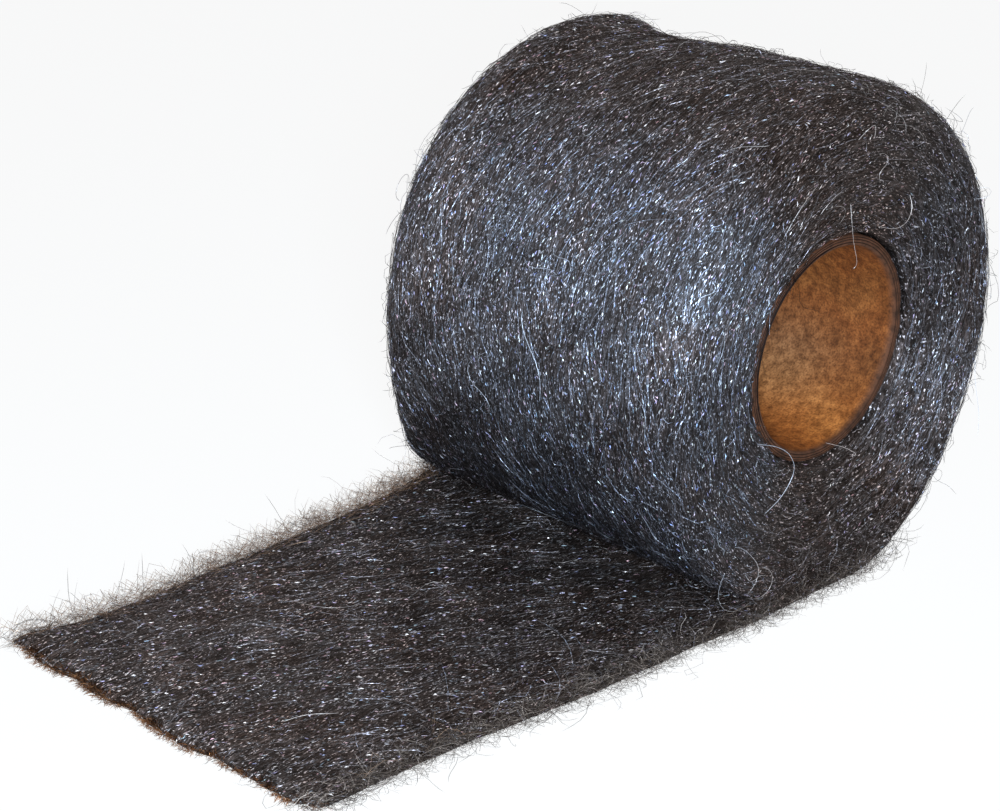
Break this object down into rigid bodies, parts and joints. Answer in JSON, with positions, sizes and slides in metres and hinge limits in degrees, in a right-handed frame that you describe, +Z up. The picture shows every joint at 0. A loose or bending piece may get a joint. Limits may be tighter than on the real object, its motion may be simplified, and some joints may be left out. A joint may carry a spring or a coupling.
{
  "type": "steel wool roll",
  "caption": "Ribbon of steel wool wound in a thick roll on a cardboard tube, lying on its side with its loose end run out flat on the bench.",
  "frame": {"origin": "on the ground, under the middle of the tube's axis, on the flat underside of the roll", "axes": "+Z up; the tube's axis runs along Y; the loose end of the ribbon points to -X"},
  "size_m": [0.2245, 0.1121, 0.1241],
  "materials": {
    "steel_wool": "dense felt of fine dark steel fibres that run along the ribbon, with bright glints and stray ends",
    "kraft_board": "rough brown spiral-wound board, mottled, darker at its cut ends"
  },
  "bodies": {
    "root": {"steel_wool": "steel_wool", "core_tube": "kraft_board"}
  },
  "joints": []
}
